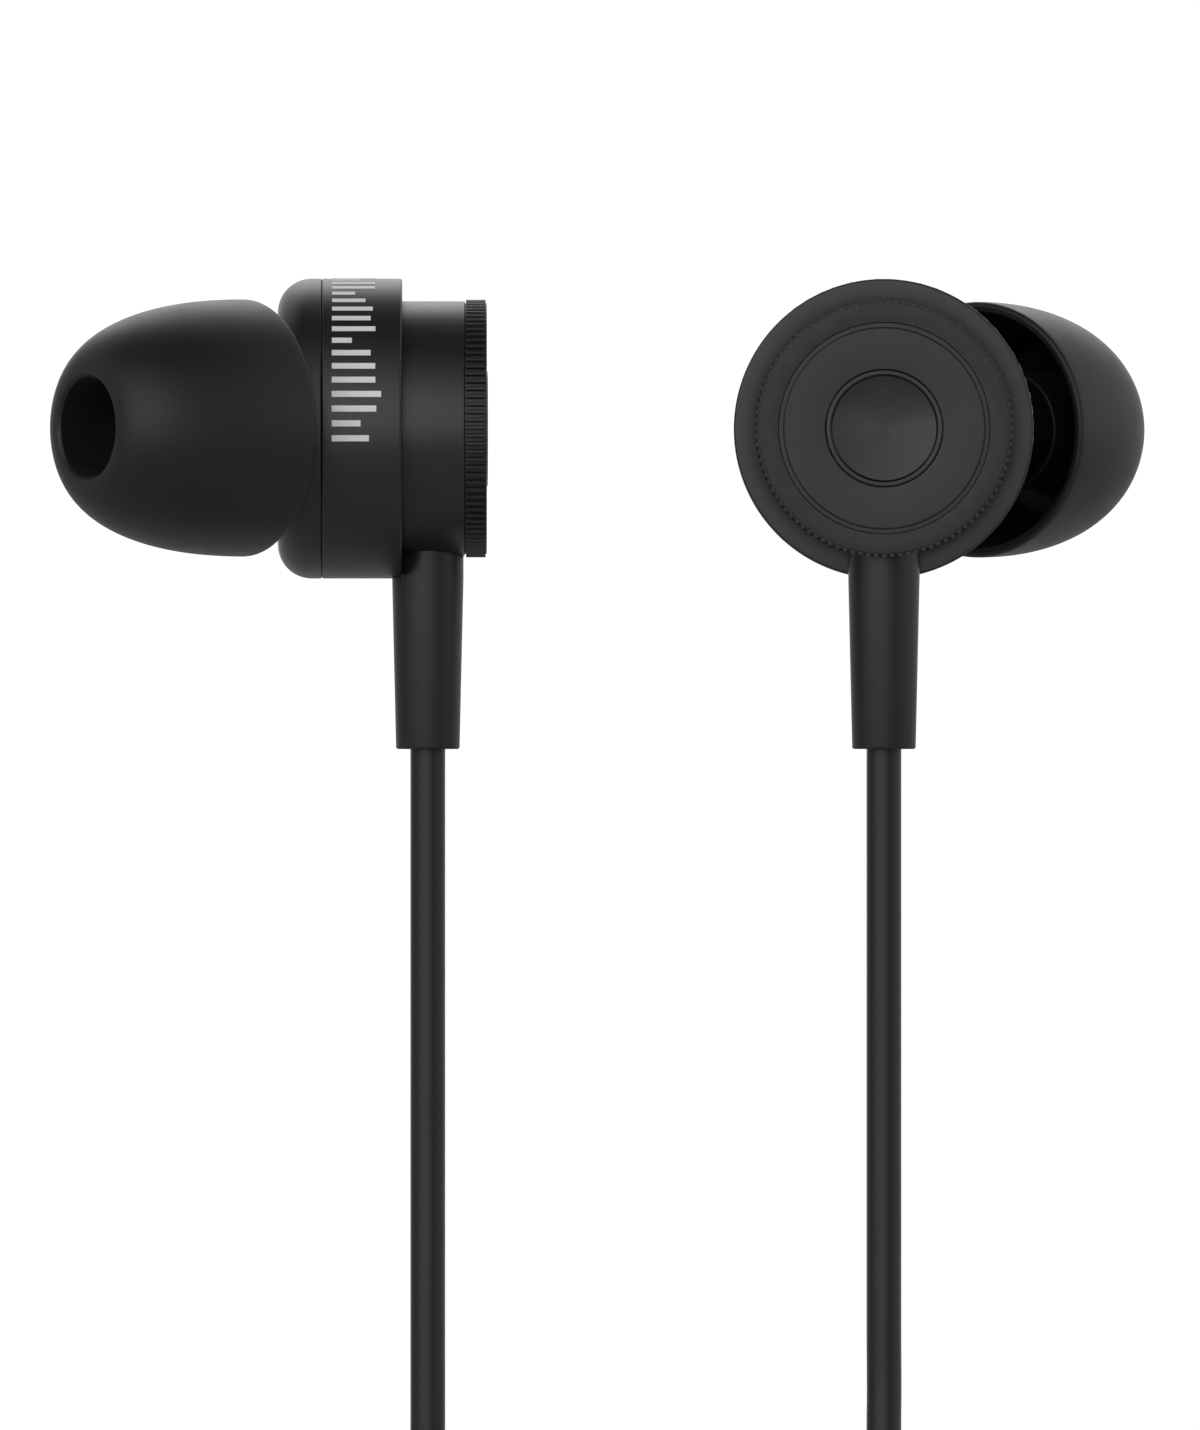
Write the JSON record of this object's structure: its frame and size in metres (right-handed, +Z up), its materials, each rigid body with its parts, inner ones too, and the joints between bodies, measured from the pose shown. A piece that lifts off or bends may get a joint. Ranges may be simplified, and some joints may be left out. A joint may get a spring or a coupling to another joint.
{
  "type": "wired in-ear earphones",
  "caption": "Wired in-ear earphones with angled nozzles and soft ear tips; plays sound from a 3.5 mm socket. The spare cable is folded and tied below.",
  "frame": {"origin": "midway between the two cable axes at the height of the earpieces' body axes, where the wearer's ears hold the pair", "axes": "+X from the left earpiece to the right one, +Z up, the cables hang along -Z; the left ear tip points to -X and -Y, the right one to +X and +Y"},
  "size_m": [0.0533, 0.0323, 0.1623],
  "materials": {
    "silicone": "soft satin moulded silicone",
    "nozzle_plastic": "matte moulded ABS",
    "screen_steel": "etched perforated steel",
    "housing": "soft matte black coat",
    "housing_band": "soft matte black coat with a printed band of light grey marks",
    "knurl": "black anodised, knurled",
    "cap": "black anodised, bead blasted",
    "badge": "black anodised, spun finish",
    "driver_steel": "plated steel",
    "film": "clear amber film",
    "copper": "enamelled copper",
    "basket_plastic": "natural nylon",
    "magnet_nickel": "nickel plate",
    "felt": "pressed felt",
    "board": "solder mask on glass epoxy",
    "relief_rubber": "matte moulded elastomer",
    "cable_jacket": "satin extruded elastomer",
    "splitter_rubber": "matte moulded elastomer",
    "tie_vinyl": "ribbed vinyl strip",
    "grip": "matte moulded ABS",
    "contact_gold": "gold plated, polished",
    "insulator": "black moulded nylon"
  },
  "bodies": {
    "root": {"left_nozzle": "nozzle_plastic", "left_nozzle_screen": "screen_steel", "left_nose_shell": "housing", "left_middle_shell": "housing_band", "left_rear_barrel": "housing", "left_knurled_ring": "knurl", "left_back_cap": "cap", "left_badge": "badge", "left_driver_cover": "driver_steel", "left_driver_basket": "basket_plastic", "left_pole_plate": "driver_steel", "left_magnet": "magnet_nickel", "left_yoke": "driver_steel", "left_rear_damper": "felt", "left_terminal_board": "board", "left_lead_wires": "copper", "left_cable_stop": "driver_steel", "left_strain_relief": "relief_rubber", "left_cable": "cable_jacket", "right_nozzle": "nozzle_plastic", "right_nozzle_screen": "screen_steel", "right_nose_shell": "housing", "right_middle_shell": "housing_band", "right_rear_barrel": "housing", "right_knurled_ring": "knurl", "right_back_cap": "cap", "right_badge": "badge", "right_driver_cover": "driver_steel", "right_driver_basket": "basket_plastic", "right_pole_plate": "driver_steel", "right_magnet": "magnet_nickel", "right_yoke": "driver_steel", "right_rear_damper": "felt", "right_terminal_board": "board", "right_lead_wires": "copper", "right_cable_stop": "driver_steel", "right_strain_relief": "relief_rubber", "right_cable": "cable_jacket", "branch_hank": "cable_jacket", "cable_splitter": "splitter_rubber", "main_hank": "cable_jacket", "main_tail": "cable_jacket", "cable_tie": "tie_vinyl", "plug_strain_relief": "relief_rubber", "plug_grip": "grip", "plug_sleeve": "contact_gold", "plug_ring": "contact_gold", "plug_tip": "contact_gold", "plug_insulators": "insulator"},
    "left_tip": {"left_ear_tip": "silicone"},
    "right_tip": {"right_ear_tip": "silicone"},
    "left_moving_coil": {"left_diaphragm": "film", "left_voice_coil": "copper"},
    "right_moving_coil": {"right_diaphragm": "film", "right_voice_coil": "copper"}
  },
  "joints": [
    {"name": "left_tip_pull", "type": "slide", "parent": "root", "child": "left_tip", "axis": [-0.829, -0.5592, 0], "range_m": [0, 0.012]},
    {"name": "right_tip_pull", "type": "slide", "parent": "root", "child": "right_tip", "axis": [0.5592, 0.829, 0], "range_m": [0, 0.012]},
    {"name": "left_coil_travel", "type": "slide", "parent": "root", "child": "left_moving_coil", "axis": [-1, 0, 0], "range_m": [-0.00015, 0.00015], "stiffness_N_per_m": 100},
    {"name": "right_coil_travel", "type": "slide", "parent": "root", "child": "right_moving_coil", "axis": [0, 1, 0], "range_m": [-0.00015, 0.00015], "stiffness_N_per_m": 100}
  ]
}
